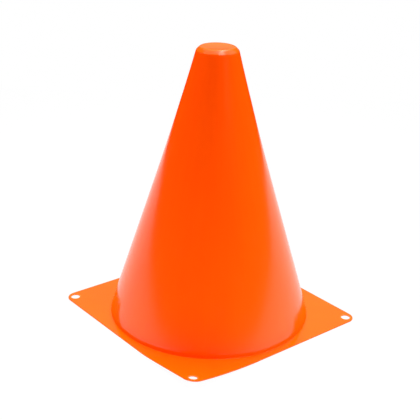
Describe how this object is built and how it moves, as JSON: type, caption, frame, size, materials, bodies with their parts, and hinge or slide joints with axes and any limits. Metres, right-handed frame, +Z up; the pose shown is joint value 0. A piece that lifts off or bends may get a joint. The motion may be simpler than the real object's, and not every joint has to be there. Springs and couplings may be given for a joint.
{
  "type": "sports marker cone",
  "caption": "Hollow tapered marker cone with a closed top on a thin square foot plate with holed corners; stands on the ground to mark a pitch or a drill and nests in a stack.",
  "frame": {"origin": "middle of the foot plate's underside, on the floor under the cone's axis", "axes": "+Z up along the cone's axis, +X and +Y along the sides of the square foot plate"},
  "size_m": [0.1404, 0.1404, 0.178],
  "materials": {
    "orange_plastic": "glossy, self-coloured bright orange"
  },
  "bodies": {
    "root": {"base_flange": "orange_plastic", "cone_wall": "orange_plastic", "crown": "orange_plastic"}
  },
  "joints": []
}
